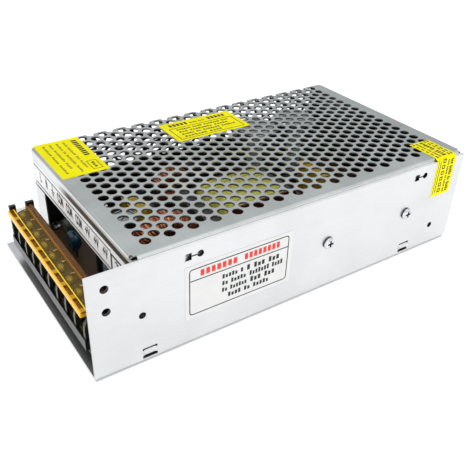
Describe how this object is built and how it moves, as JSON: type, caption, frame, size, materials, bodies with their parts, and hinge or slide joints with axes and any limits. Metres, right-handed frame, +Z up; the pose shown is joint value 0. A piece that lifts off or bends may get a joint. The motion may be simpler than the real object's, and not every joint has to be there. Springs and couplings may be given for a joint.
{
  "type": "enclosed switching power supply",
  "caption": "Enclosed switching power supply with a folded metal case, a perforated cover and screw terminals under a hinged amber cover.",
  "frame": {"origin": "centre of the case's underside", "axes": "+Z up, -X towards the terminals, -Y towards the label wall"},
  "size_m": [0.199, 0.1134, 0.0501],
  "materials": {
    "sheet_aluminium": "satin mill finish",
    "cover_sheet": "satin mill finish, punched",
    "zinc_steel": "zinc plated",
    "brass": "turned",
    "fish_paper": "matte",
    "laminate": "bare laminate",
    "black_plastic": "moulded",
    "amber_plastic": "clear amber moulding",
    "blue_plastic": "moulded",
    "white_plastic": "moulded",
    "green_lens": "diffused lens",
    "red_plastic": "moulded",
    "ferrite": "sintered",
    "coated_core": "epoxy coated",
    "bobbin_plastic": "phenolic moulding",
    "yellow_tape": "polyester tape",
    "copper_wire": "enamelled copper",
    "capacitor_sleeve": "shrink sleeve",
    "yellow_film": "moulded box",
    "blue_coating": "dipped epoxy",
    "green_coating": "dipped",
    "fuse_glass": "clear tube",
    "spring_metal": "plated spring strip",
    "resistor_body": "lacquered",
    "silicone_pad": "silicone sheet",
    "white_label": "printed film",
    "yellow_label": "printed film"
  },
  "bodies": {
    "supply": {"chassis": "sheet_aluminium", "cover": "cover_sheet", "cover_screws": "zinc_steel", "insulating_sheet": "fish_paper", "board_standoffs": "brass", "circuit_board": "laminate", "board_screws": "zinc_steel", "terminal_block": "black_plastic", "terminal_plates": "zinc_steel", "terminal_screws": "zinc_steel", "adjuster_body": "blue_plastic", "status_light": "green_lens", "selector_body": "red_plastic", "transformer_core": "ferrite", "transformer_bobbin": "bobbin_plastic", "transformer_winding": "yellow_tape", "choke_core": "coated_core", "choke_winding": "copper_wire", "filter_core": "ferrite", "filter_winding": "copper_wire", "drive_core": "ferrite", "drive_winding": "yellow_tape", "bulk_capacitors": "capacitor_sleeve", "output_capacitors": "capacitor_sleeve", "small_capacitors": "capacitor_sleeve", "film_capacitor": "yellow_film", "line_capacitor": "yellow_film", "disc_capacitors": "blue_coating", "surge_disc": "blue_coating", "inrush_disc": "green_coating", "fuse_tube": "fuse_glass", "fuse_caps": "zinc_steel", "fuse_clips": "spring_metal", "bridge_rectifier": "black_plastic", "output_rectifier": "black_plastic", "switching_transistor": "black_plastic", "insulating_pads": "silicone_pad", "device_screws": "zinc_steel", "device_nuts": "zinc_steel", "control_chip": "black_plastic", "resistors": "resistor_body", "rating_label": "white_label", "terminal_label": "white_label", "corner_label": "yellow_label", "top_label": "yellow_label", "seal_label": "yellow_label"},
    "terminal_lid": {"terminal_cover": "amber_plastic"},
    "adjuster": {"adjuster_rotor": "white_plastic"},
    "selector": {"selector_slider": "black_plastic"}
  },
  "joints": [
    {"name": "terminal_cover_hinge", "type": "hinge", "parent": "supply", "child": "terminal_lid", "pos_m": [-0.0886, 0, 0.0269], "axis": [0, 1, 0], "range_deg": [0, 110]},
    {"name": "adjuster_turn", "type": "hinge", "parent": "supply", "child": "adjuster", "pos_m": [-0.0826, -0.0455, 0.0146], "axis": [0, 0, 1], "range_deg": [-135, 135]},
    {"name": "selector_slide", "type": "slide", "parent": "supply", "child": "selector", "axis": [1, 0, 0], "range_m": [0, 0.004]}
  ]
}
